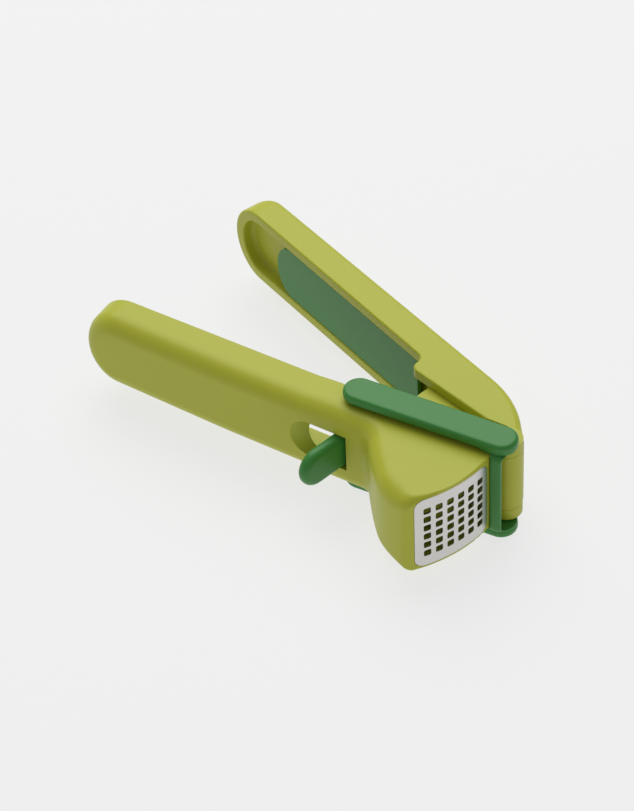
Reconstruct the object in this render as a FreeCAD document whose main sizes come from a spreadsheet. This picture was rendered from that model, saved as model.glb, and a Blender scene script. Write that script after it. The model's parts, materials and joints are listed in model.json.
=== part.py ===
import FreeCAD, Part
import math
import os
import Sketcher

# Garlic press lying on its side. Lengths are millimetres, angles are degrees.
# The hinge axis is the Z axis, the hopper handle runs along -X and the perforated plate faces
# +X and -Y. Every piece is symmetric about its own local plane z = 0, and its Placement lifts
# that plane so that the wiper frame's lower arm rests on z = 0.

doc = FreeCAD.newDocument("GarlicPress")
sheet = doc.addObject("Spreadsheet::Sheet", "Sizes")

drivingSizes = [
    ("midHeight", 23.8, "height of the plane of symmetry over the rest face"),
    ("handleReach", 177.6, "hinge axis to the tip of the hopper handle"),
    ("leverReach", 175.4, "hinge axis to the tip of the lever"),
    ("leverAngle", 21.4, "lever from closed, as it stands at rest"),
    ("headHalf", 18.5, "half the width of the hopper head"),
    ("handleHalf", 17.5, "half the width of both handles near the head"),
    ("tipHalf", 16.9, "half the width of both handles near the tip"),
    ("tipRound", 15.0, "length of the elliptical end of both handles"),
    ("handleBack", 4.6, "hinge axis down to the hopper handle's back face"),
    ("handleFront", 21.2, "hinge axis down to the hopper handle's front face"),
    ("frontRound", 7.0, "corner radius along the front of the hopper handle"),
    ("neckRound", 8.0, "hollow corner between the handle and the hopper head"),
    ("wallThick", 4.6, "moulded wall"),
    ("barrelRadius", 6.1, "hinge barrel"),
    ("knuckleHalf", 13.6, "half the length of the lever's knuckle space"),
    ("knucklePlay", 0.35, "round gap between a knuckle and what it turns in"),
    ("endPlay", 0.15, "end gap beside the lever's knuckle"),
    ("pinRadius", 2.0, "hinge pin and plunger pin"),
    ("pinPlay", 0.05, "radial running clearance"),
    ("pinHalf", 18.1, "half the length of the hinge pin"),
    ("pivotX", -57.93, "wiper pivot"),
    ("pivotY", -8.88, "wiper pivot"),
    ("sweepRadius", 57.6, "outer face of the plate, about the wiper pivot"),
    ("plateThick", 1.0, "perforated sheet"),
    ("plateHalf", 17.0, "half the height of the plate"),
    ("plateStart", -39.0, "heel end of the plate, about the wiper pivot"),
    ("plateEnd", -4.9, "hinge end of the plate, about the wiper pivot"),
    ("plateCorner", 4.0, "corner radius of the plate"),
    ("holeSize", 3.0, "side of a square hole"),
    ("holeCorner", 0.7, "corner radius of a hole"),
    ("holeRise", 4.32, "hole rows, centre to centre"),
    ("holeStep", 4.94, "hole columns, centre to centre, about the wiper pivot"),
    ("holeFirst", -33.9, "first column, about the wiper pivot"),
    ("chamberHalf", 13.4, "half the height of the hopper chamber"),
    ("chamberRadius", 44.2, "heel wall of the chamber, about the hinge"),
    ("plungerHalf", 13.0, "half the height of the plunger"),
    ("plungerPlay", 0.4, "gap round the plunger"),
    ("channelHalf", 12.7, "half the height of the hopper handle's channel"),
    ("leverFace", 3.5, "hinge axis up to the lever's inner face when closed"),
    ("recessHalf", 12.5, "half the height of the lever's recess"),
    ("recessFloor", 8.6, "hinge axis up to the floor of the lever's recess"),
    ("recessReach", 170.5, "hinge axis to the far end of the recess"),
    ("toolHalf", 12.2, "half the width of the cleaning tool"),
    ("toolThick", 1.5, "blade of the cleaning tool"),
    ("toolDepth", 0.4, "tool below the lever's inner face"),
    ("armLength", 58.6, "wiper arm, centre to centre"),
    ("armHalf", 6.33, "half the width of a wiper arm"),
    ("armThick", 3.4, "wiper arm"),
    ("armAngle", 3.8, "wiper arm at rest, from +X"),
    ("bladeStart", 58.2, "inner edge of the wiper blade, from the pivot"),
    ("bladeWide", 4.7, "wiper blade, along the arm"),
    ("bladeThick", 1.8, "wiper blade"),
    ("bladeDrop", 7.9, "arm's centre line down to the blade's outer face"),
    ("triggerAngle", -104.0, "trigger at rest, from +X"),
    ("triggerReach", 31.6, "pivot to the tip of the trigger"),
    ("triggerHalf", 8.0, "half the width of the trigger"),
    ("triggerThick", 5.0, "trigger"),
    ("shaftRadius", 2.5, "wiper pivot shaft"),
    ("shaftHalf", 22.4, "half the length of the pivot shaft"),
    ("bushRadius", 4.0, "seat of a pivot bush"),
    ("springWire", 0.45, "wire radius of the return spring"),
    ("springRadius", 3.4, "mean radius of the return spring"),
]
for row, (alias, value, note) in enumerate(drivingSizes, start=1):
    sheet.set("A%d" % row, note)
    sheet.set("B%d" % row, str(value))
    sheet.setAlias("B%d" % row, alias)
doc.recompute()


def mm(alias):
    return float(sheet.get(alias))


def bind(thing, **links):
    for name, expression in links.items():
        thing.setExpression(name, expression)
    return thing


def polar(radius, degrees, centre=(0.0, 0.0)):
    turn = math.radians(degrees)
    return (centre[0] + radius * math.cos(turn), centre[1] + radius * math.sin(turn))


def flat(point):
    return FreeCAD.Vector(point[0], point[1], 0)


def drawOutline(sketch, start, steps):
    # steps: ("line", end), ("arc", middle, end) or ("ellipse", centre, reach, half), which goes
    # round the -x end of an ellipse from its +half side to its -half side
    here = flat(start)
    for step in steps:
        if step[0] == "line":
            there = flat(step[1])
            sketch.addGeometry(Part.LineSegment(here, there), False)
        elif step[0] == "arc":
            there = flat(step[2])
            sketch.addGeometry(Part.Arc(here, flat(step[1]), there), False)
        else:
            centre, reach, half = step[1:]
            middle = flat(centre)
            tip = middle + FreeCAD.Vector(-reach, 0, 0)
            side = middle + FreeCAD.Vector(0, half, 0)
            there = middle + FreeCAD.Vector(0, -half, 0)
            if reach >= half:
                curve = Part.Ellipse(tip, side, middle)
                span = (-math.pi / 2, math.pi / 2)
            else:
                curve = Part.Ellipse(side, tip, middle)
                span = (0.0, math.pi)
            sketch.addGeometry(Part.ArcOfEllipse(curve, *span), False)
        here = there
    return sketch


def planSketch(name, start, steps):
    sketch = doc.addObject("Sketcher::SketchObject", name)
    return drawOutline(sketch, start, steps)


def sideSketch(name, start, steps, atY=0.0):
    # sketch x is X and sketch y is Z
    sketch = doc.addObject("Sketcher::SketchObject", name)
    upright = FreeCAD.Rotation(FreeCAD.Vector(1, 0, 0), 90)
    sketch.Placement = FreeCAD.Placement(FreeCAD.Vector(0, atY, 0), upright)
    return drawOutline(sketch, start, steps)


def extrude(name, sketch, forward, backward, direction=(0, 0, 1)):
    solid = doc.addObject("Part::Extrusion", name)
    solid.Base = sketch
    solid.DirMode = "Custom"
    solid.Dir = FreeCAD.Vector(*direction)
    solid.Solid = True
    return bind(solid, LengthFwd=forward, LengthRev=backward)


def cylinder(name, radius, half, centre=("0", "0")):
    rod = doc.addObject("Part::Cylinder", name)
    bind(rod, Radius=radius, Height="2 * (%s)" % half)
    rod.setExpression("Placement.Base.x", centre[0])
    rod.setExpression("Placement.Base.y", centre[1])
    rod.setExpression("Placement.Base.z", "-(%s)" % half)
    return rod


def block(name, low, high):
    box = doc.addObject("Part::Box", name)
    box.Length, box.Width, box.Height = (high[i] - low[i] for i in range(3))
    box.Placement.Base = FreeCAD.Vector(*low)
    return box


def common(name, *shapes):
    both = doc.addObject("Part::MultiCommon", name)
    both.Shapes = list(shapes)
    return both


def fuse(name, *shapes):
    joined = doc.addObject("Part::MultiFuse", name)
    joined.Shapes = list(shapes)
    return joined


def cut(name, base, *tools):
    tool = tools[0] if len(tools) == 1 else fuse(name + "Tools", *tools)
    left = doc.addObject("Part::Cut", name)
    left.Base = base
    left.Tool = tool
    return left


def edgesWhere(thing, test):
    doc.recompute()
    return [i for i, edge in enumerate(thing.Shape.Edges, start=1) if test(edge)]


def middleOf(edge):
    return edge.valueAt((edge.FirstParameter + edge.LastParameter) / 2)


def roundEdges(name, base, chosen):
    rounded = doc.addObject("Part::Fillet", name)
    rounded.Base = base
    rounded.Edges = chosen
    return rounded


finished = []


def finish(thing, label, turn=None, at=("0", "0")):
    # gives a piece its name and its place; turn is an expression in degrees about Z
    thing.Label = label
    thing.setExpression("Placement.Base.x", at[0])
    thing.setExpression("Placement.Base.y", at[1])
    thing.setExpression("Placement.Base.z", "Sizes.midHeight")
    if turn:
        thing.Placement.Rotation = FreeCAD.Rotation(FreeCAD.Vector(0, 0, 1), 1.0)
        thing.setExpression("Placement.Rotation.Angle", turn)
    finished.append(thing)
    return thing


pivot = (mm("pivotX"), mm("pivotY"))
pivotAt = ("Sizes.pivotX", "Sizes.pivotY")
handleSide = "Sizes.headHalf"
leverTurn = "-Sizes.leverAngle"


# hopper handle: its plan outline and its side outline cross to make the blank
# middle of an arc that bulges to the right of its run and turns left by the given angle
def arcMiddle(start, end, turn):
    rise = math.tan(math.radians(turn / 4)) / 2
    return ((start[0] + end[0]) / 2 + (end[1] - start[1]) * rise,
            (start[1] + end[1]) / 2 - (end[0] - start[0]) * rise)


def handleBlank():
    reach = mm("handleReach")
    back = -mm("handleBack")
    front = -mm("handleFront")
    heelAfter = polar(mm("sweepRadius"), -39.5, pivot)
    heelBefore = (-18.05, -47.3)
    shoulder = (-32.93, -39.55)
    neck = (-51.7, front - mm("neckRound"))
    neckMiddle = polar(mm("neckRound"), 62.7, neck)
    neckEnd = polar(mm("neckRound"), 35.5, neck)
    rimMiddle = polar(mm("sweepRadius"), -20.0, pivot)
    rimEnd = polar(mm("sweepRadius"), -3.4, pivot)
    barrel = mm("barrelRadius")
    plan = planSketch("handlePlan", (-reach, back), [
        ("line", (-reach, front + 1.6)),
        ("line", (-112.0, front)),
        ("line", (neck[0], front)),
        ("arc", neckMiddle, neckEnd),
        ("arc", arcMiddle(neckEnd, shoulder, 7.5), shoulder),
        ("arc", arcMiddle(shoulder, heelBefore, 39.0), heelBefore),
        ("arc", arcMiddle(heelBefore, heelAfter, 58.5), heelAfter),
        ("arc", rimMiddle, rimEnd),
        ("line", (rimEnd[0], -barrel)),
        ("line", (0.0, -barrel)),
        ("arc", (barrel, 0.0), polar(barrel, 98.0)),
        ("line", (-14.5, 0.6)),
        ("line", (-50.5, -3.5)),
        ("line", (-57.0, back)),
        ("line", (-reach, back)),
    ])
    head = mm("headHalf")
    near = mm("handleHalf")
    far = mm("tipHalf")
    round_ = mm("tipRound")
    side = sideSketch("handleSideOutline", (10.0, head), [
        ("line", (-65.0, head)),
        ("arc", (-71.5, (head + near) / 2 + 0.2), (-79.0, near)),
        ("line", (-reach + round_, far)),
        ("ellipse", (-reach + round_, 0.0), round_, far),
        ("line", (-79.0, -near)),
        ("arc", (-71.5, -(head + near) / 2 - 0.2), (-65.0, -head)),
        ("line", (10.0, -head)),
        ("line", (10.0, head)),
    ])
    planSolid = extrude("handlePlanSolid", plan, handleSide, handleSide)
    sideSolid = extrude("handleSideSolid", side, "40", "80", (0, 1, 0))
    return common("handleBlank", planSolid, sideSolid)


def handleRounding(blank):
    # a large radius along the handle's front, shrinking over the heel to a small one at the rim
    back = -mm("handleBack")
    large, wide, heel, small = mm("frontRound"), 6.0, 3.5, 1.1
    chosen = []
    doc.recompute()
    for i, edge in enumerate(blank.Shape.Edges, start=1):
        middle = middleOf(edge)
        along = edge.Vertexes[0].Point - edge.Vertexes[-1].Point
        if abs(middle.z) < 5 or abs(along.x) < 0.5:
            continue
        outward = edge.valueAt(edge.FirstParameter).x > middle.x
        if middle.x < -46 and middle.y < back - 8:
            chosen.append((i, large, large))
        elif middle.x < -57.5 and abs(middle.y - back) < 1e-3:
            chosen.append((i, 0.8, 0.8))
        elif middle.y < -25 and -45 < middle.x < -35:
            chosen.append((i, wide, large) if outward else (i, large, wide))
        elif middle.y < -25 and -35 < middle.x < -20:
            chosen.append((i, heel, wide) if outward else (i, wide, heel))
        elif middle.y < -42 and middle.x > -20:
            chosen.append((i, small, heel) if outward else (i, heel, small))
        elif middle.y < -13 and middle.x > -12:
            chosen.append((i, small, small))
    return roundEdges("handleRounded", blank, chosen)


def hopperHandle():
    back = -mm("handleBack")
    front = -mm("handleFront")
    wall = mm("wallThick")
    reach = mm("handleReach")
    body = handleRounding(handleBlank())

    # chamber swept by the plunger, open to the back
    inner = mm("sweepRadius") - mm("plateThick") + 0.1
    radius = mm("chamberRadius")
    mouthEnd = polar(inner, -6.4, pivot)
    mouthMiddle = polar(inner, -20.0, pivot)
    mouthStart = polar(inner, -36.4, pivot)
    heelIn = polar(radius, -107.5)
    chamber = planSketch("chamberPlan", mouthEnd, [
        ("arc", mouthMiddle, mouthStart),
        ("line", heelIn),
        ("arc", polar(radius, -140.0), (-radius, 0.0)),
        ("line", (-radius, 25.0)),
        ("line", (-2.6, 25.0)),
        ("line", (-2.6, -4.0)),
        ("line", mouthEnd),
    ])
    chamberSolid = extrude("chamberSolid", chamber, "Sizes.chamberHalf", "Sizes.chamberHalf")
    knuckleSpace = cylinder("knuckleSpace", "Sizes.barrelRadius + Sizes.knucklePlay",
                            "Sizes.knuckleHalf")

    # seat of the plate
    seat = planSketch("plateSeatPlan", polar(inner - 0.1, mm("plateEnd") + 0.15, pivot), [
        ("arc", polar(inner - 0.1, -20.0, pivot), polar(inner - 0.1, mm("plateStart") - 0.15, pivot)),
        ("line", polar(inner + 4, mm("plateStart") - 0.15, pivot)),
        ("arc", polar(inner + 4, -20.0, pivot), polar(inner + 4, mm("plateEnd") + 0.15, pivot)),
        ("line", polar(inner - 0.1, mm("plateEnd") + 0.15, pivot)),
    ])
    seatSolid = extrude("plateSeat", seat, "Sizes.plateHalf + 0.1", "Sizes.plateHalf + 0.1")
    seatEdges = edgesWhere(seatSolid, lambda e: abs(middleOf(e).z) > 5 and e.Length < 6)
    seatRounded = roundEdges("plateSeatRounded", seatSolid,
                             [(i, mm("plateCorner"), mm("plateCorner")) for i in seatEdges])

    # channel along the handle, open to the back
    channelPlan = planSketch("channelPlan", (-reach + wall, back + 5), [
        ("line", (-reach + wall, front + wall + 1.4)),
        ("line", (-112.0, front + wall)),
        ("line", (-48.6, front + wall)),
        ("line", (-48.6, back + 5)),
        ("line", (-reach + wall, back + 5)),
    ])
    half = mm("channelHalf")
    channelSide = sideSketch("channelSide", (-40.0, half), [
        ("line", (-reach + mm("tipRound"), half - 0.4)),
        ("ellipse", (-reach + mm("tipRound"), 0.0), mm("tipRound") - wall, half - 0.4),
        ("line", (-40.0, -half)),
        ("line", (-40.0, half)),
    ])
    channelA = extrude("channelA", channelPlan, "20", "20")
    channelB = extrude("channelB", channelSide, "40", "40", (0, 1, 0))
    channel = common("channel", channelA, channelB)
    channelEdges = edgesWhere(channel, lambda e: middleOf(e).y < front + wall + 2
                              and e.Length > 15)
    channelRounded = roundEdges("channelRounded", channel, [(i, 2.0, 2.0) for i in channelEdges])

    # trigger window with a finger scoop at its far end
    right, tall = -57.0, 8.5
    windowOuter = sideSketch("windowOuter", (right, tall), [
        ("line", (-74.0, tall)),
        ("ellipse", (-74.0, 0.0), 9.0, tall),
        ("line", (right, -tall)),
        ("line", (right, tall)),
    ], front - 1.0)
    windowInner = sideSketch("windowInner", (right, tall), [
        ("line", (-68.6, tall)),
        ("ellipse", (-68.6, 0.0), 6.9, tall),
        ("line", (right, -tall)),
        ("line", (right, tall)),
    ], front + wall + 0.5)
    window = doc.addObject("Part::Loft", "window")
    window.Sections = [windowOuter, windowInner]
    window.Solid = True
    window.Ruled = True

    seatUpper = cylinder("pivotSeat", "Sizes.bushRadius", "30", pivotAt)
    pinBore = cylinder("pinBore", "Sizes.pinRadius", "30")
    shell = cut("hopperShell", body, chamberSolid, knuckleSpace, seatRounded, channelRounded,
                window, seatUpper, pinBore)
    return finish(shell, "hopper_handle")


# perforated plate: an arc of sheet about the wiper pivot
def perforatedPlate():
    outer = mm("sweepRadius")
    inner = outer - mm("plateThick")
    first, last = mm("plateStart"), mm("plateEnd")
    middle = (first + last) / 2
    ring = planSketch("platePlan", polar(outer, first, pivot), [
        ("arc", polar(outer, middle, pivot), polar(outer, last, pivot)),
        ("line", polar(inner, last, pivot)),
        ("arc", polar(inner, middle, pivot), polar(inner, first, pivot)),
        ("line", polar(outer, first, pivot)),
    ])
    sheetSolid = extrude("plateSheet", ring, "Sizes.plateHalf", "Sizes.plateHalf")
    corners = edgesWhere(sheetSolid, lambda e: abs(middleOf(e).z) > 5
                         and e.Length < 2 * mm("plateThick"))
    corner = mm("plateCorner")
    rounded = roundEdges("plateRounded", sheetSolid, [(i, corner, corner) for i in corners])
    doc.recompute()
    size, edge = mm("holeSize"), mm("holeCorner")
    holes = []
    for column in range(6):
        angle = mm("holeFirst") + column * mm("holeStep")
        for level in range(6):
            punch = Part.makeBox(8, size, size, FreeCAD.Vector(0, -size / 2, -size / 2))
            along = [e for e in punch.Edges if e.Length > 7]
            punch = punch.makeFillet(edge, along)
            punch.translate(FreeCAD.Vector(outer - 4, 0, (level - 2.5) * mm("holeRise")))
            punch.rotate(FreeCAD.Vector(), FreeCAD.Vector(0, 0, 1), angle)
            punch.translate(FreeCAD.Vector(pivot[0], pivot[1], 0))
            holes.append(punch)
    punches = doc.addObject("Part::Feature", "platePunches")
    punches.Shape = Part.makeCompound(holes)
    return finish(cut("plateShape", rounded, punches), "perforated_plate")


def roomSteps(gap):
    # inside of the lever's hinge end, where the plunger sits; gap keeps the plunger off it
    return (-52.0 + gap, -60.0), [
        ("line", (-52.0 + gap, 13.2 - gap)),
        ("line", (-30.0, 13.5 - gap)),
        ("arc", (-17.6 - gap, 12.3 - gap), (-8.4 - gap, 8.2 - gap)),
        ("line", (-4.4 - gap, 5.2 - gap)),
        ("line", (-4.4 - gap, -60.0)),
        ("line", (-52.0 + gap, -60.0)),
    ]


# lever, modelled closed: along -X, its inner face towards -Y
def leverHandle():
    face = mm("leverFace")
    reach, tip = mm("leverReach"), mm("tipRound")
    plan = planSketch("leverPlan", (-reach, face), [
        ("line", (-57.6, face)),
        ("arc", (-55.3, face - 0.8), (-54.3, face - 2.9)),
        ("arc", (-53.2, -1.9), (-50.6, -3.0)),
        ("line", (-14.5, 1.15)),
        ("line", (-0.2, 6.85)),
        ("line", (2.9, 5.75)),
        ("line", (-6.0, 11.4)),
        ("arc", (-16.4, 15.9), (-30.0, 17.7)),
        ("line", (-reach + tip, 16.3)),
        ("arc", (-169.2, 13.78), (-reach, 6.8)),
        ("line", (-reach, face)),
    ])
    near, far = mm("handleHalf"), mm("tipHalf")
    side = sideSketch("leverSideOutline", (10.0, near), [
        ("line", (-reach + tip, far)),
        ("ellipse", (-reach + tip, 0.0), tip, far),
        ("line", (10.0, -near)),
        ("line", (10.0, near)),
    ])
    planSolid = extrude("leverPlanSolid", plan, "30", "30")
    sideSolid = extrude("leverSideSolid", side, "40", "80", (0, 1, 0))
    blank = common("leverBlank", planSolid, sideSolid)
    doc.recompute()
    chosen = []
    for i, edge in enumerate(blank.Shape.Edges, start=1):
        middle = middleOf(edge)
        along = edge.Vertexes[0].Point - edge.Vertexes[-1].Point
        if abs(middle.z) < 5 or abs(along.x) < 0.5:
            continue
        if middle.y > 8.6 and middle.x < -4:
            chosen.append((i, 3.0, 3.0))
        elif abs(middle.y - face) < 1e-3 and middle.x < -57:
            chosen.append((i, 0.9, 0.9))
        elif middle.y < face - 0.3 and -56 < middle.x < -12:
            chosen.append((i, 0.9, 0.9))
    rounded = roundEdges("leverRounded", blank, chosen)

    half = mm("recessHalf")
    far = mm("recessReach")
    recessSide = sideSketch("recessSide", (-50.0, half), [
        ("line", (-far + 10.5, half)),
        ("ellipse", (-far + 10.5, 0.0), 10.5, half),
        ("line", (-50.0, -half)),
        ("line", (-50.0, half)),
    ])
    recessBlock = extrude("recessBlock", recessSide, "Sizes.recessFloor", "20", (0, 1, 0))
    floorEdges = edgesWhere(recessBlock, lambda e: abs(middleOf(e).y - mm("recessFloor")) < 1e-3
                            and middleOf(e).x < -50.5)
    recess = roundEdges("recess", recessBlock, [(i, 2.2, 2.2) for i in floorEdges])
    start, steps = roomSteps(0.0)
    room = extrude("plungerRoom", planSketch("plungerRoomPlan", start, steps),
                   "Sizes.plungerHalf + 0.3", "Sizes.plungerHalf + 0.3")
    hollowed = cut("leverHollow", rounded, recess, room)
    rimEdges = edgesWhere(hollowed, lambda e: abs(middleOf(e).y - face) < 1e-3
                          and middleOf(e).x < -58 and e.BoundBox.ZMax < half + 0.1
                          and e.BoundBox.ZMin > -half - 0.1)
    hollow = roundEdges("leverSoftRim", hollowed, [(i, 0.7, 0.7) for i in rimEdges])

    # knuckle between the hopper handle's two, and room for those two
    knuckle = cylinder("leverKnuckle", "Sizes.barrelRadius",
                       "Sizes.knuckleHalf - Sizes.endPlay")
    barrelSpace = cylinder("barrelSpace", "Sizes.barrelRadius + Sizes.knucklePlay", "30")
    middleBand = cylinder("middleBand", "40", "Sizes.knuckleHalf - Sizes.endPlay")
    endSpace = cut("barrelEnds", barrelSpace, middleBand)
    web = planSketch("leverWebPlan", (-4.4, 2.0), [
        ("line", (-4.4, 9.6)),
        ("line", (-1.0, 8.0)),
        ("line", (2.9, 5.75)),
        ("line", (0.0, 0.0)),
        ("line", (-4.4, 2.0)),
    ])
    webSolid = extrude("leverWeb", web, "Sizes.knuckleHalf - Sizes.endPlay",
                       "Sizes.knuckleHalf - Sizes.endPlay")
    withKnuckle = fuse("leverWithKnuckle", cut("leverCleared", hollow, endSpace), knuckle,
                       webSolid)
    pinBore = cylinder("leverBore", "Sizes.pinRadius + Sizes.pinPlay", "30")
    crossBore = cylinder("leverCrossBore", "Sizes.pinRadius", "15.6", ("-32", "8"))
    shell = cut("leverShell", withKnuckle, pinBore, crossBore)
    return finish(shell, "lever_handle", leverTurn)


# plunger, modelled closed: a sector of a drum about the hinge, hollow towards the lever
def plunger():
    drum = cylinder("plungerDrum", "Sizes.chamberRadius - Sizes.plungerPlay - 0.1",
                    "Sizes.plungerHalf")
    press = cylinder("plungerPress",
                     "Sizes.sweepRadius - Sizes.plateThick - Sizes.plungerPlay",
                     "Sizes.plungerHalf", pivotAt)
    start, steps = roomSteps(0.15)
    room = extrude("plungerOutline", planSketch("plungerOutlinePlan", start, steps),
                   "Sizes.plungerHalf", "Sizes.plungerHalf")
    sector = common("plungerSector", drum, press, room)
    hub = cylinder("plungerHub", "Sizes.barrelRadius + Sizes.knucklePlay", "30")
    drumInside = cylinder("plungerDrumInside", "Sizes.chamberRadius - 3.8",
                          "Sizes.plungerHalf - 2.8")
    pressInside = cylinder("plungerPressInside", "Sizes.sweepRadius - 5",
                           "Sizes.plungerHalf - 2.8", pivotAt)
    hollow = common("plungerInside", drumInside, pressInside,
                    block("plungerWindow", (-60, -60, -30), (-13, 30, 30)))
    boss = cylinder("plungerBoss", "4.2", "Sizes.plungerHalf", ("-32", "8"))
    ribbed = fuse("plungerRibbed", cut("plungerHollow", sector, hub, hollow),
                  common("plungerBossTrim", boss, room))
    bore = cylinder("plungerBore", "Sizes.pinRadius", "30", ("-32", "8"))
    return finish(cut("plungerShape", ribbed, bore), "plunger", leverTurn)


def newBody(name):
    return doc.addObject("PartDesign::Body", name)


def sketchIn(body, role, name, lift=None):
    sketch = body.newObject("Sketcher::SketchObject", name)
    plane = [item for item in body.Origin.OriginFeatures if item.Role == role][0]
    sketch.AttachmentSupport = [(plane, "")]
    sketch.MapMode = "FlatFace"
    if lift:
        sketch.setExpression("AttachmentOffset.Base.z", lift)
    return sketch


def circleIn(sketch, radius, centre=(0.0, 0.0)):
    ring = Part.Circle(flat(centre), FreeCAD.Vector(0, 0, 1), 1.0)
    index = sketch.addGeometry(ring, False)
    sketch.addConstraint(Sketcher.Constraint("Radius", index, 1.0))
    sketch.setExpression("Constraints[%d]" % (sketch.ConstraintCount - 1), radius)


def pad(body, name, sketch, length, symmetric=False):
    grown = body.newObject("PartDesign::Pad", name)
    grown.Profile = sketch
    grown.SideType = "Symmetric" if symmetric else "One side"
    return bind(grown, Length=length)


def pocketThrough(body, name, sketch, length):
    hole = body.newObject("PartDesign::Pocket", name)
    hole.Profile = sketch
    hole.SideType = "Symmetric"
    return bind(hole, Length=length)


def roundIn(body, name, feature, radius, test):
    chosen = ["Edge%d" % i for i in edgesWhere(feature, test)]
    soft = body.newObject("PartDesign::Fillet", name)
    soft.Base = (feature, chosen)
    soft.Radius = radius
    return soft


# plain round pins
def pin(label, radius, half, turn=None, at=("0", "0"), centre=(0.0, 0.0)):
    body = newBody(label + "Body")
    sketch = sketchIn(body, "XY_Plane", label + "Sketch")
    circleIn(sketch, radius, centre)
    rod = pad(body, label + "Pad", sketch, "2 * (%s)" % half, symmetric=True)
    doc.recompute()
    ends = body.newObject("PartDesign::Chamfer", label + "Chamfer")
    ends.Base = (rod, ["Edge%d" % i for i in edgesWhere(rod, lambda e: abs(middleOf(e).z) > 5)])
    ends.Size = 0.4
    return finish(body, label, turn, at)


# cleaning tool, modelled closed with the lever: a thin tongue on two ribs
def cleaningTool():
    body = newBody("cleaningToolBody")
    top = "Sizes.leverFace + Sizes.toolDepth"
    blade = sketchIn(body, "XZ_Plane", "toolOutline", "-(%s + Sizes.toolThick)" % top)
    half = mm("toolHalf")
    drawOutline(blade, (-58.6, half), [
        ("line", (-139.4, half)),
        ("ellipse", (-139.4, 0.0), 8.6, half),
        ("line", (-58.6, -half)),
        ("line", (-58.6, half)),
    ])
    tongue = pad(body, "toolBlade", blade, "Sizes.toolThick")
    ribs = sketchIn(body, "XZ_Plane", "toolRibs", "-(Sizes.recessFloor - 0.1)")
    for side in (-1, 1):
        z0, z1 = sorted((side * 6.0, side * 7.4))
        drawOutline(ribs, (-72.0, z0), [
            ("line", (-72.0, z1)),
            ("line", (-134.0, z1)),
            ("line", (-134.0, z0)),
            ("line", (-72.0, z0)),
        ])
    pad(body, "toolRibPad", ribs, "Sizes.recessFloor - 0.1 - (%s + Sizes.toolThick)" % top)
    doc.recompute()
    return finish(body, "cleaning_tool", leverTurn)


# wiper frame, modelled with its arms along +X from the pivot: two arms and the blade bar
def wiperFrame():
    body = newBody("wiperFrameBody")
    half, reach = mm("armHalf"), mm("armLength")
    start, wide, thick = mm("bladeStart"), mm("bladeWide"), mm("bladeThick")
    under = "(Sizes.midHeight - Sizes.armThick)"
    bar = sketchIn(body, "XY_Plane", "bladeOutline")
    low = -mm("bladeDrop")
    drawOutline(bar, (start, low), [
        ("line", (start + wide, low)),
        ("line", (start + wide, low + thick)),
        ("line", (start, low + thick)),
        ("line", (start, low)),
    ])
    blade = pad(body, "blade", bar, "2 * %s" % under, symmetric=True)
    arm = sketchIn(body, "XY_Plane", "armOutline", under)
    drawOutline(arm, (0.0, -half), [
        ("line", (reach, -half)),
        ("arc", (reach + half, 0.0), (reach, half)),
        ("line", (0.0, half)),
        ("arc", (-half, 0.0), (0.0, -half)),
    ])
    upper = pad(body, "upperArm", arm, "Sizes.armThick")
    ledge = sketchIn(body, "XY_Plane", "ledgeOutline", under + " - 1.1")
    drawOutline(ledge, (52.8, -half), [
        ("line", (reach, -half)),
        ("arc", (reach + half, 0.0), (reach, half)),
        ("line", (52.8, half)),
        ("line", (52.8, -half)),
    ])
    thicker = pad(body, "armLedge", ledge, "1.1")
    foot = sketchIn(body, "XY_Plane", "footOutline", under + " - 1.6")
    drawOutline(foot, (start - 0.2, low), [
        ("line", (start + wide + 0.6, low)),
        ("line", (start + wide + 0.6, -3.0)),
        ("line", (start - 0.2, -3.0)),
        ("line", (start - 0.2, low)),
    ])
    bladeFoot = pad(body, "bladeFoot", foot, "1.6")
    doc.recompute()
    both = body.newObject("PartDesign::Mirrored", "bothArms")
    both.Originals = [upper, thicker, bladeFoot]
    middle = [item for item in body.Origin.OriginFeatures if item.Role == "XY_Plane"][0]
    both.MirrorPlane = (middle, [""])
    body.Tip = both
    doc.recompute()
    top = mm("midHeight")
    soft = roundIn(body, "armRounding", both, 1.0,
                   lambda e: abs(abs(middleOf(e).z) - top) < 1e-3)
    body.Tip = soft
    seat = sketchIn(body, "XY_Plane", "shaftSeat")
    circleIn(seat, "Sizes.shaftRadius")
    pocketThrough(body, "shaftSeatPocket", seat, "2 * (Sizes.shaftHalf + 0.1)")
    groove = sketchIn(body, "XY_Plane", "lipGroove")
    mid = low + thick / 2
    drawOutline(groove, (start - 1.0, mid - 0.35), [
        ("line", (start + 1.2, mid - 0.35)),
        ("line", (start + 1.2, mid + 0.35)),
        ("line", (start - 1.0, mid + 0.35)),
        ("line", (start - 1.0, mid - 0.35)),
    ])
    pocketThrough(body, "lipGroovePocket", groove, "2 * (Sizes.plateHalf + 1)")
    return finish(body, "wiper_frame", "Sizes.armAngle", pivotAt)


# soft lip in the blade's groove, just clear of the plate
def scraperLip():
    body = newBody("scraperLipBody")
    low = -mm("bladeDrop")
    mid = low + mm("bladeThick") / 2
    start = mm("sweepRadius") + 0.08
    # the edge lies off the arm's centre line, so it is nearer than its distance from the pivot
    edge = math.sqrt(start ** 2 - mid ** 2) + 0.05
    deep = mm("bladeStart") + 1.2
    sketch = sketchIn(body, "XY_Plane", "lipOutline")
    drawOutline(sketch, (edge, mid - 0.35), [
        ("line", (deep, mid - 0.35)),
        ("line", (deep, mid + 0.35)),
        ("line", (edge, mid + 0.35)),
        ("line", (edge, mid - 0.35)),
    ])
    pad(body, "lip", sketch, "2 * (Sizes.plateHalf + 0.9)", symmetric=True)
    return finish(body, "scraper_lip", "Sizes.armAngle", pivotAt)


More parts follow.
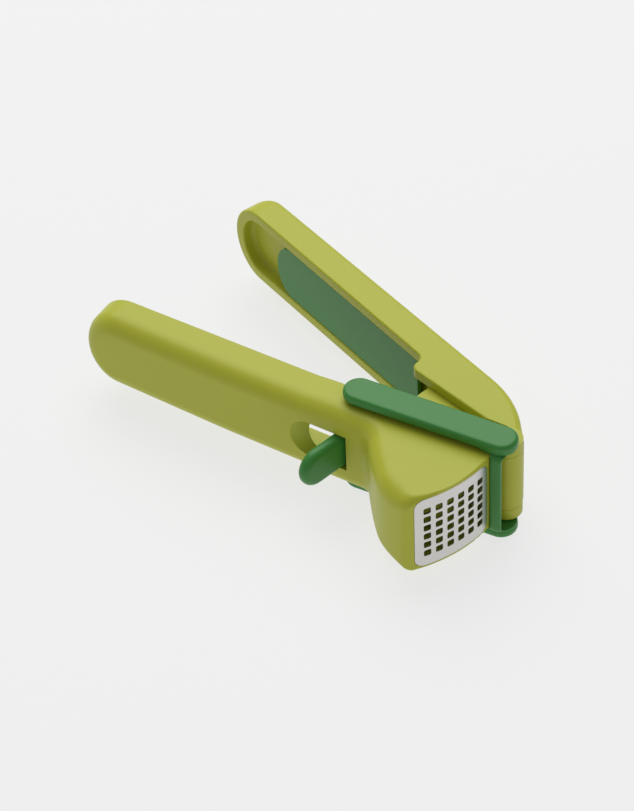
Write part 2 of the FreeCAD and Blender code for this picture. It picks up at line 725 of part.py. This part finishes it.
# trigger, modelled with its tongue along +X from the pivot
def trigger():
    body = newBody("triggerBody")
    half, reach = mm("triggerHalf"), mm("triggerReach")
    tongue = sketchIn(body, "XZ_Plane", "tongueOutline")
    drawOutline(tongue, (0.0, half), [
        ("line", (reach - half, half)),
        ("arc", (reach, 0.0), (reach - half, -half)),
        ("line", (0.0, -half)),
        ("line", (0.0, half)),
    ])
    blade = pad(body, "tongue", tongue, "Sizes.triggerThick", symmetric=True)
    doc.recompute()
    soft = roundIn(body, "tongueRounding", blade, 2.3,
                   lambda e: middleOf(e).x > 0.5 and abs(middleOf(e).y) > 1)
    body.Tip = soft
    boss = sketchIn(body, "XY_Plane", "bossOutline", "-12.4")
    circleIn(boss, "Sizes.bushRadius + 0.2")
    pad(body, "boss", boss, "12.4 + 5.8")
    bore = sketchIn(body, "XY_Plane", "triggerBore")
    circleIn(bore, "Sizes.shaftRadius")
    pocketThrough(body, "triggerBorePocket", bore, "60")
    return finish(body, "trigger", "Sizes.triggerAngle", pivotAt)


# flanged bush, turned; upper is +1 and lower is -1
def pivotBush(label, upper):
    body = newBody(label + "Body")
    sketch = sketchIn(body, "XZ_Plane", label + "Profile")
    bore = mm("shaftRadius") + mm("pinPlay")
    seat = mm("bushRadius")
    inside, face = mm("channelHalf"), mm("headHalf")
    out = mm("midHeight") - mm("armThick") - 0.2
    drawOutline(sketch, (bore, upper * inside), [
        ("line", (seat, upper * inside)),
        ("line", (seat, upper * face)),
        ("line", (seat + 0.6, upper * face)),
        ("line", (seat + 0.6, upper * out)),
        ("line", (bore, upper * out)),
        ("line", (bore, upper * inside)),
    ])
    turned = body.newObject("PartDesign::Revolution", label + "Turned")
    turned.Profile = sketch
    turned.ReferenceAxis = (sketch, ["V_Axis"])
    turned.Angle = 360
    return finish(body, label, at=pivotAt)


# torsion spring round the shaft, over the trigger's boss, as the sleeve its turns fill
def returnSpring():
    body = newBody("returnSpringBody")
    ring = sketchIn(body, "XY_Plane", "springRing", "Sizes.triggerHalf + 0.15")
    circleIn(ring, "Sizes.springRadius + Sizes.springWire")
    circleIn(ring, "Sizes.springRadius - Sizes.springWire")
    pad(body, "springTurns", ring, "Sizes.channelHalf - Sizes.triggerHalf - 0.3")
    return finish(body, "return_spring", at=pivotAt)


hopperHandle()
perforatedPlate()
pin("hinge_pin", "Sizes.pinRadius", "Sizes.pinHalf")
leverHandle()
plunger()
pin("plunger_pin", "Sizes.pinRadius", "15.4", leverTurn, centre=(-32.0, 8.0))
cleaningTool()
wiperFrame()
scraperLip()
trigger()
pin("pivot_shaft", "Sizes.shaftRadius", "Sizes.shaftHalf", at=pivotAt)
pivotBush("pivot_bush_upper", 1)
pivotBush("pivot_bush_lower", -1)
returnSpring()
doc.recompute()

for thing in doc.Objects:
    if "Invalid" in thing.State or "Error" in thing.State:
        raise RuntimeError("%s (%s) did not build: %s" % (thing.Name, thing.Label, thing.State))

os.makedirs("parts", exist_ok=True)
for piece in finished:
    shape = piece.Shape
    if shape.isNull() or not shape.isValid():
        raise RuntimeError("%s has no valid shape" % piece.Label)
    box = shape.BoundBox
    print("%-18s solids %d volume %9.1f  x %7.2f %7.2f  y %7.2f %7.2f  z %6.2f %6.2f" % (
        piece.Label, len(shape.Solids), shape.Volume, box.XMin, box.XMax, box.YMin, box.YMax,
        box.ZMin, box.ZMax))
    shape.exportStep(os.path.join("parts", piece.Label + ".step"))
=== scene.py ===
import json
import math

import bmesh
import bpy
import numpy as np
from mathutils import Matrix, Vector


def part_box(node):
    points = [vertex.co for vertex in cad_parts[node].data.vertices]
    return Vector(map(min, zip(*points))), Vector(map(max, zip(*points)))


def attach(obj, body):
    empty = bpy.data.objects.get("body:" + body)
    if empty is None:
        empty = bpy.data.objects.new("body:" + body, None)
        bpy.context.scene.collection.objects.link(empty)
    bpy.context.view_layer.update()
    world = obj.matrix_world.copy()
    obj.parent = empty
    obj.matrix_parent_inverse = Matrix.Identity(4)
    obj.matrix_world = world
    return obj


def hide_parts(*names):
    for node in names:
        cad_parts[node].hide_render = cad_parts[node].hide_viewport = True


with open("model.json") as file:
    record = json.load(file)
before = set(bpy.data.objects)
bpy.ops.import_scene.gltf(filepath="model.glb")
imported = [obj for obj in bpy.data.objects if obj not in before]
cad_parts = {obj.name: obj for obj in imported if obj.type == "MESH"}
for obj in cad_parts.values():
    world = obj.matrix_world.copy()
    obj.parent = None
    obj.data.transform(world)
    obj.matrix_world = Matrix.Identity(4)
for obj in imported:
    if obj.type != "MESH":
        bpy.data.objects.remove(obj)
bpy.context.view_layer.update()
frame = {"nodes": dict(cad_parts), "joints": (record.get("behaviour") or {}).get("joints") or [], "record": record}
scene = bpy.context.scene
joints = {joint["name"]: joint for joint in frame["joints"]}
print("frame loaded:", len(frame["nodes"]), "nodes")


# Shader graphs: arithmetic on a Socket (+, -, *, clamped) adds a Math node.

class Socket:
    def __init__(self, graph, link):
        self.graph = graph
        self.link = link

    def math(self, operation, other, swap=False, clamp=False):
        pair = [other, self] if swap else [self, other]
        return self.graph.node("ShaderNodeMath", {"operation": operation, "use_clamp": clamp},
                               {0: pair[0], 1: pair[1]}, "Value")

    def __add__(self, other):
        return self.math("ADD", other)

    def __radd__(self, other):
        return self.math("ADD", other, swap=True)

    def __sub__(self, other):
        return self.math("SUBTRACT", other)

    def __rsub__(self, other):
        return self.math("SUBTRACT", other, swap=True)

    def __mul__(self, other):
        return self.math("MULTIPLY", other)

    def __rmul__(self, other):
        return self.math("MULTIPLY", other, swap=True)

    def clamped(self):
        return self.math("ADD", 0.0, clamp=True)


class Graph:
    def __init__(self, name):
        self.material = bpy.data.materials.new(name)
        self.material.use_nodes = True
        self.tree = self.material.node_tree
        self.tree.nodes.clear()

    def node(self, kind, settings, inputs, output=None):
        made = self.tree.nodes.new(kind)
        for key, value in settings.items():
            setattr(made, key, value)
        for key, value in inputs.items():
            if isinstance(value, Socket):
                self.tree.links.new(value.link, made.inputs[key])
            else:
                made.inputs[key].default_value = value
        return Socket(self, made.outputs[output]) if output is not None else made

    def objectPoint(self, stretch=(1.0, 1.0, 1.0)):
        point = self.node("ShaderNodeTexCoord", {}, {}, "Object")
        return self.node("ShaderNodeMapping", {}, {"Vector": point, "Scale": stretch}, "Vector")

    def noise(self, point, scale, detail=3.0, rough=0.5):
        return self.node("ShaderNodeTexNoise", {"noise_dimensions": "3D"},
                         {"Vector": point, "Scale": scale, "Detail": detail,
                          "Roughness": rough}, "Fac")

    def mixColour(self, factor, low, high):
        return self.node("ShaderNodeMix", {"data_type": "RGBA"},
                         {0: factor, 6: (*low, 1.0), 7: (*high, 1.0)}, 2)

    def bump(self, height, strength, distance):
        return self.node("ShaderNodeBump", {}, {"Height": height, "Strength": strength,
                                                "Distance": distance}, "Normal")

    def surface(self, inputs):
        shader = self.node("ShaderNodeBsdfPrincipled", {}, inputs, "BSDF")
        self.node("ShaderNodeOutputMaterial", {}, {"Surface": shader})
        return self.material


def shade(colour, gain):
    return tuple(channel * gain for channel in colour)


# Moulded plastic: a fine spark-eroded grain, slow tone drift and a soft sheen.
def mouldedPlastic(name, colour, roughness, grain=1.0):
    look = {
        "grainScale": 5200.0,       # per metre
        "grainDepth": 0.000012 * grain,
        "bumpStrength": 0.35,
        "speckScale": 1300.0,
        "driftScale": 28.0,
        "driftShare": 0.8,          # the rest of the tone comes from the specks
        "drift": 0.035,
        "roughSpread": 0.07,
        "refraction": 1.46,
        "specular": 0.36,
    }
    graph = Graph(name)
    point = graph.objectPoint()
    drift = graph.noise(point, look["driftScale"], 2.0)
    speck = graph.noise(point, look["speckScale"], 2.0)
    grainHeight = graph.noise(point, look["grainScale"], 2.0, 0.6)
    tone = (drift * look["driftShare"] + speck * (1.0 - look["driftShare"])).clamped()
    base = graph.mixColour(tone, shade(colour, 1.0 - look["drift"]),
                           shade(colour, 1.0 + look["drift"]))
    rough = roughness - look["roughSpread"] / 2 + speck * look["roughSpread"]
    normal = graph.bump(grainHeight, look["bumpStrength"], look["grainDepth"])
    return graph.surface({"Base Color": base, "Roughness": rough, "Normal": normal,
                          "IOR": look["refraction"], "Specular IOR Level": look["specular"]})


# Sheet steel: long fine brush lines along Z, a little cloudiness in the polish.
def brushedSteel(name, colour, roughness, lineStretch):
    look = {
        "lineScale": 900.0,         # per metre
        "lineDepth": 0.000006,
        "bumpStrength": 0.25,
        "lineShare": 0.7,           # the rest of the tone comes from the clouds
        "lineContrast": 0.10,
        "lineRough": 0.12,
        "cloudScale": 60.0,
        "cloudRough": 0.08,
    }
    graph = Graph(name)
    lines = graph.noise(graph.objectPoint(lineStretch), look["lineScale"], 4.0, 0.6)
    clouds = graph.noise(graph.objectPoint(), look["cloudScale"], 2.0)
    tone = (lines * look["lineShare"] + clouds * (1.0 - look["lineShare"])).clamped()
    base = graph.mixColour(tone, shade(colour, 1.0 - look["lineContrast"]),
                           shade(colour, 1.0 + look["lineContrast"]))
    rough = (roughness + (lines - 0.5) * look["lineRough"]
             + (clouds - 0.5) * look["cloudRough"])
    normal = graph.bump(lines, look["bumpStrength"], look["lineDepth"])
    return graph.surface({"Base Color": base, "Roughness": rough, "Normal": normal,
                          "Metallic": 1.0})


finishes = {
    "light_plastic": mouldedPlastic("limePlastic", (0.475, 0.50, 0.038), 0.42),
    "dark_plastic": mouldedPlastic("forestPlastic", (0.046, 0.236, 0.042), 0.36),
    "bush_plastic": mouldedPlastic("bearingPlastic", (0.05, 0.19, 0.05), 0.45, 0.6),
    "plate_steel": brushedSteel("plateSteel", (0.66, 0.65, 0.63), 0.36, (1.0, 1.0, 0.04)),
    "pin_steel": brushedSteel("pinSteel", (0.58, 0.58, 0.57), 0.28, (0.06, 0.06, 1.0)),
    "lip_rubber": mouldedPlastic("lipRubber", (0.03, 0.12, 0.03), 0.6, 1.5),
}
print("finishes made:", len(finishes))

slotOfNode = {part["node"]: part["material_slot"] for part in frame["record"]["subparts"]}
for nodeName, nodeObject in frame["nodes"].items():
    nodeObject.data.materials.clear()
    nodeObject.data.materials.append(finishes[slotOfNode[nodeName]])


mergeDistance = 2e-6
slimDistance = 1e-7


# Mesh object from grids. Each grid is rings of points; rings that shrink to a line or a point
# have their doubles merged afterwards.
def gridObject(name, grids, finish, body, node):
    points, faces, start = [], [], 0
    for grid in grids:
        rings, around = grid.shape[:2]
        ring, spoke = np.meshgrid(np.arange(rings - 1), np.arange(around), indexing="ij")
        after = (spoke + 1) % around
        quads = np.stack([ring * around + spoke, ring * around + after,
                          (ring + 1) * around + after, (ring + 1) * around + spoke], axis=-1)
        points.append(grid.reshape(-1, 3))
        faces.append(quads.reshape(-1, 4) + start)
        start += rings * around
    mesh = bpy.data.meshes.new(name)
    mesh.from_pydata(np.concatenate(points).tolist(), [], np.concatenate(faces).tolist())
    shell = bmesh.new()
    shell.from_mesh(mesh)
    bmesh.ops.remove_doubles(shell, verts=shell.verts, dist=mergeDistance)
    bmesh.ops.dissolve_degenerate(shell, edges=shell.edges, dist=slimDistance)
    bmesh.ops.recalc_face_normals(shell, faces=shell.faces)
    shell.to_mesh(mesh)
    shell.free()
    mesh.polygons.foreach_set("use_smooth", np.ones(len(mesh.polygons), bool))
    mesh.materials.append(finish)
    made = bpy.data.objects.new(name, mesh)
    scene.collection.objects.link(made)
    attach(made, body)
    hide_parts(node)


# Slab outline: two half circles of radius half, a given length apart, and the straight sides
# between them, as points on the centre line and the offset from each.
def slabOutline(length, half, endSteps=28, sideSteps=18):
    turn = np.linspace(-np.pi / 2, np.pi / 2, endSteps + 1)
    side = np.linspace(0.0, 1.0, sideSteps + 1)[1:-1]
    far = half * np.stack([np.cos(turn), np.sin(turn)], axis=1)
    straight = np.stack([np.zeros(len(side)), np.full(len(side), half)], axis=1)
    centres = np.concatenate([np.full(endSteps + 1, length), length * (1 - side),
                              np.zeros(endSteps + 1), length * side])
    offsets = np.concatenate([far, straight, -far, -straight])
    return centres, offsets


# Slab: the outline carried over its thickness. A ring at inset d keeps the outline's centre line
# and shortens every offset by d; the two edges follow quarter circles, and both faces close on
# the centre line.
def slabGrid(place, along, across, up, outline, low, high, lowRound, highRound):
    centres, offsets = outline
    half = np.linalg.norm(offsets, axis=1).min()
    arc = np.linspace(0.0, np.pi / 2, 9)
    face = np.linspace(0.0, 1.0, 7)
    inset = np.concatenate([(1 - face[:-1]) * (half - lowRound) + lowRound,
                            lowRound * (1 - np.sin(arc)),
                            highRound * (1 - np.sin(arc[::-1])),
                            face[1:] * (half - highRound) + highRound])
    height = np.concatenate([np.full(6, low), low + lowRound * (1 - np.cos(arc)),
                             high - highRound * (1 - np.cos(arc[::-1])), np.full(6, high)])
    flat = offsets[None, :, :] * np.clip(1 - inset / half, 0.0, None)[:, None, None]
    x = centres[None, :] + flat[:, :, 0]
    return (place + x[:, :, None] * along + flat[:, :, 1][:, :, None] * across
            + height[:, None, None] * up)


def planeAxes(degrees):
    turn = math.radians(degrees)
    return np.array([math.cos(turn), math.sin(turn), 0.0]), np.array(
        [-math.sin(turn), math.cos(turn), 0.0])


zAxis = np.array([0.0, 0.0, 1.0])
pivotPlace = np.array(joints["wiper_pivot"]["pos_m"])
midHeight = pivotPlace[2]


# Wiper frame: two arms, a step inside each at the blade end, and the blade between them.
def makeWiperFrame():
    look = {
        "armThick": 0.0034,
        "outerRound": 0.0016,
        "innerRound": 0.0006,
        "step": 0.0011,
        "stepLength": 0.004,
        "stepInset": 0.00015,
        "stepSink": 0.0008,
        "stepInnerRound": 0.0004,
        "stepOuterRound": 0.0003,
        "bladeStart": 0.0575,
        "bladeWide": 0.0044,
        "bladeDrop": 0.0079,
        "bladeThick": 0.0018,
        "bladeSink": 0.0006,
        "flare": 0.0022,
        "flareShare": 0.6,
        "endInset": 0.0002,
        "corner": 4.0,
    }
    low, high = (np.array(corner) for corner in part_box("wiper_frame"))
    half = pivotPlace[0] - low[0]
    run = np.array([high[0] - half, high[1] - half]) - pivotPlace[:2]
    length = float(np.hypot(*run))
    along, across = planeAxes(math.degrees(math.atan2(run[1], run[0])))
    top = midHeight
    bottom = top - look["armThick"]
    grids = []
    for up in (zAxis, -zAxis):
        grids.append(slabGrid(pivotPlace, along, across, up, slabOutline(length, half),
                              bottom, top, look["innerRound"], look["outerRound"]))
        stepPlace = pivotPlace + along * (length - look["stepLength"])
        grids.append(slabGrid(stepPlace, along, across, up,
                              slabOutline(look["stepLength"], half - look["stepInset"]),
                              bottom - look["step"], bottom + look["stepSink"],
                              look["stepInnerRound"], look["stepOuterRound"]))
    # blade: a rounded rectangle |x/a|^n + |y/b|^n = 1 carried along Z; towards both arms it grows
    # along a quarter circle of radius flare, and its ends close inside the arms
    foot = bottom - look["step"]
    run = foot - look["flare"]
    turned = np.linspace(0.0, np.pi / 2, 12)
    upperLevels = np.concatenate([run + look["flare"] * np.sin(turned),
                                  [foot + look["bladeSink"]] * 2])
    upperGrow = np.concatenate([look["flare"] * (1 - np.cos(turned)), [look["flare"]] * 2])
    level = np.concatenate([-upperLevels[::-1], np.linspace(-run, run, 30)[1:-1], upperLevels])
    grow = np.concatenate([upperGrow[::-1], np.zeros(28), upperGrow]) * look["flareShare"]
    around = np.linspace(0, 2 * np.pi, 48, endpoint=False)
    power = 2 / look["corner"]
    unitX = np.sign(np.cos(around)) * np.abs(np.cos(around)) ** power
    unitY = np.sign(np.sin(around)) * np.abs(np.sin(around)) ** power
    shut = np.ones(len(level))
    shut[[0, -1]] = 0.0
    a = (look["bladeWide"] / 2 + grow) * shut
    b = (look["bladeThick"] / 2 + grow * 0.5) * shut
    centreX = look["bladeStart"] + look["bladeWide"] / 2 + grow * 0.3
    centreY = -look["bladeDrop"] + look["bladeThick"] / 2 + grow * 0.6
    x = centreX[:, None] + a[:, None] * unitX
    y = centreY[:, None] + b[:, None] * unitY
    # the flare is drawn in to the arm's round end, in proportion to how far it has grown
    past = np.maximum(x - length, 0.0)
    keepIn = np.minimum(1.0, (half - look["endInset"]) / np.hypot(past, y))
    pull = (grow / grow.max())[:, None] * (1 - keepIn)
    x = x - past * pull
    y = y * (1 - pull)
    grids.append(pivotPlace + x[:, :, None] * along + y[:, :, None] * across
                 + (level[:, None] + 0 * x)[:, :, None] * zAxis)
    gridObject("wiperFrame", grids, finishes["dark_plastic"], "wiper", "wiper_frame")


# Trigger: a thick tongue with full-round edges, and its boss round the shaft.
def makeTrigger():
    look = {"angle": -104.0, "reach": 0.0316, "half": 0.008, "thick": 0.005, "edge": 0.0023,
            "bossRadius": 0.0042, "bossLow": -0.0124, "bossHigh": 0.0058, "bossRound": 0.0005}
    along, across = planeAxes(look["angle"])
    tongue = slabGrid(pivotPlace, along, zAxis, across,
                      slabOutline(look["reach"] - look["half"], look["half"]),
                      -look["thick"] / 2, look["thick"] / 2, look["edge"], look["edge"])
    # the rounded end behind the pivot is pressed flat, so it stays inside the boss
    behind = np.minimum((tongue - pivotPlace) @ along, 0.0)
    tongue = tongue - behind[:, :, None] * along
    boss = slabGrid(pivotPlace, along, across, zAxis, slabOutline(0.0, look["bossRadius"]),
                    look["bossLow"], look["bossHigh"], look["bossRound"], look["bossRound"])
    gridObject("trigger", [tongue, boss], finishes["dark_plastic"], "wiper", "trigger")


# Return spring: a round wire, radius w, swept along a helix of radius r about the pivot.
def makeSpring():
    look = {"wire": 0.00042, "radius": 0.0034, "turns": 4.6}
    low, high = (np.array(corner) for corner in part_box("return_spring"))
    turn = np.linspace(0, 2 * np.pi * look["turns"], 220)
    section = np.linspace(0, 2 * np.pi, 14, endpoint=False)
    shut = np.ones(len(turn))
    shut[[0, -1]] = 0.0
    reach = look["radius"] + look["wire"] * np.cos(section)[None, :] * shut[:, None]
    base = np.linspace(low[2] + look["wire"], high[2] - look["wire"], len(turn))
    level = base[:, None] + look["wire"] * np.sin(section)[None, :] * shut[:, None]
    grid = np.stack([pivotPlace[0] + reach * np.cos(turn)[:, None],
                     pivotPlace[1] + reach * np.sin(turn)[:, None], level], axis=-1)
    gridObject("returnSpring", [grid], finishes["pin_steel"], "hopper", "return_spring")


makeWiperFrame()
makeTrigger()
makeSpring()
print("wiper pieces made")


# Stage: a pale glowing table under the rest face, one softbox above and behind, and a weak sky.
stageLook = {
    "floorHalf": 6.0,
    "floorTone": (0.16, 0.16, 0.16),
    "floorGlow": 0.735,
    "skyStrength": 0.30,
    "topPower": 31.0,
    "topSize": 1.9,
    "topPlace": (-0.75, 0.85, 1.55),
    "aim": (-0.08, 0.0, 0.0),
}


def lookAt(place, target):
    return (Vector(target) - Vector(place)).to_track_quat("-Z", "Y").to_matrix().to_4x4()


def panelLight(name, place, size, power):
    lamp = bpy.data.lights.new(name, "AREA")
    lamp.shape = "SQUARE"
    lamp.size = size
    lamp.energy = power
    holder = bpy.data.objects.new(name, lamp)
    holder.matrix_world = Matrix.Translation(place) @ lookAt(place, stageLook["aim"])
    scene.collection.objects.link(holder)


def makeStage():
    half = stageLook["floorHalf"]
    graph = Graph("paleFloor")
    haze = graph.noise(graph.objectPoint(), 0.7, 1.0)
    tone = stageLook["floorTone"]
    base = graph.mixColour(haze, shade(tone, 0.997), shade(tone, 1.003))
    material = graph.surface({"Base Color": base, "Roughness": 0.9, "Specular IOR Level": 0.1,
                              "Emission Color": (1.0, 1.0, 1.0, 1.0),
                              "Emission Strength": stageLook["floorGlow"]})
    mesh = bpy.data.meshes.new("paleFloor")
    corners = [(-half, -half, 0.0), (half, -half, 0.0), (half, half, 0.0), (-half, half, 0.0)]
    mesh.from_pydata(corners, [], [(0, 1, 2, 3)])
    mesh.materials.append(material)
    floor = bpy.data.objects.new("paleFloor", mesh)
    scene.collection.objects.link(floor)
    world = bpy.data.worlds.new("softSky")
    world.use_nodes = True
    background = world.node_tree.nodes["Background"]
    background.inputs["Color"].default_value = (1.0, 1.0, 1.0, 1.0)
    background.inputs["Strength"].default_value = stageLook["skyStrength"]
    scene.world = world
    panelLight("topSoftbox", stageLook["topPlace"], stageLook["topSize"], stageLook["topPower"])


makeStage()
print("stage made")

# Camera: a long lens, looking down on the head from its plate side.
cameraLook = {
    "azimuth": 33.15,
    "elevation": 43.62,
    "roll": -2.31,
    "lens": 167.2,
    "fromHinge": (0.4855, -0.8703, 0.9861),
}


def makeCamera():
    a, e, r = (math.radians(cameraLook[k]) for k in ("azimuth", "elevation", "roll"))
    back = Vector((math.sin(a) * math.cos(e), -math.cos(a) * math.cos(e), math.sin(e)))
    right = Vector((math.cos(a), math.sin(a), 0.0))
    up = back.cross(right)
    axisX = right * math.cos(r) + up * math.sin(r)
    axisY = up * math.cos(r) - right * math.sin(r)
    turn = Matrix((axisX, axisY, back)).transposed().to_4x4()
    lens = bpy.data.cameras.new("pressCamera")
    lens.lens = cameraLook["lens"]
    lens.sensor_width = 36.0
    lens.sensor_fit = "AUTO"
    lens.clip_start, lens.clip_end = 0.05, 50.0
    holder = bpy.data.objects.new("pressCamera", lens)
    hinge = Vector(joints["lever_hinge"]["pos_m"])
    holder.matrix_world = Matrix.Translation(hinge + Vector(cameraLook["fromHinge"])) @ turn
    scene.collection.objects.link(holder)
    scene.camera = holder


makeCamera()
scene.view_settings.view_transform = "Standard"
print("camera made")
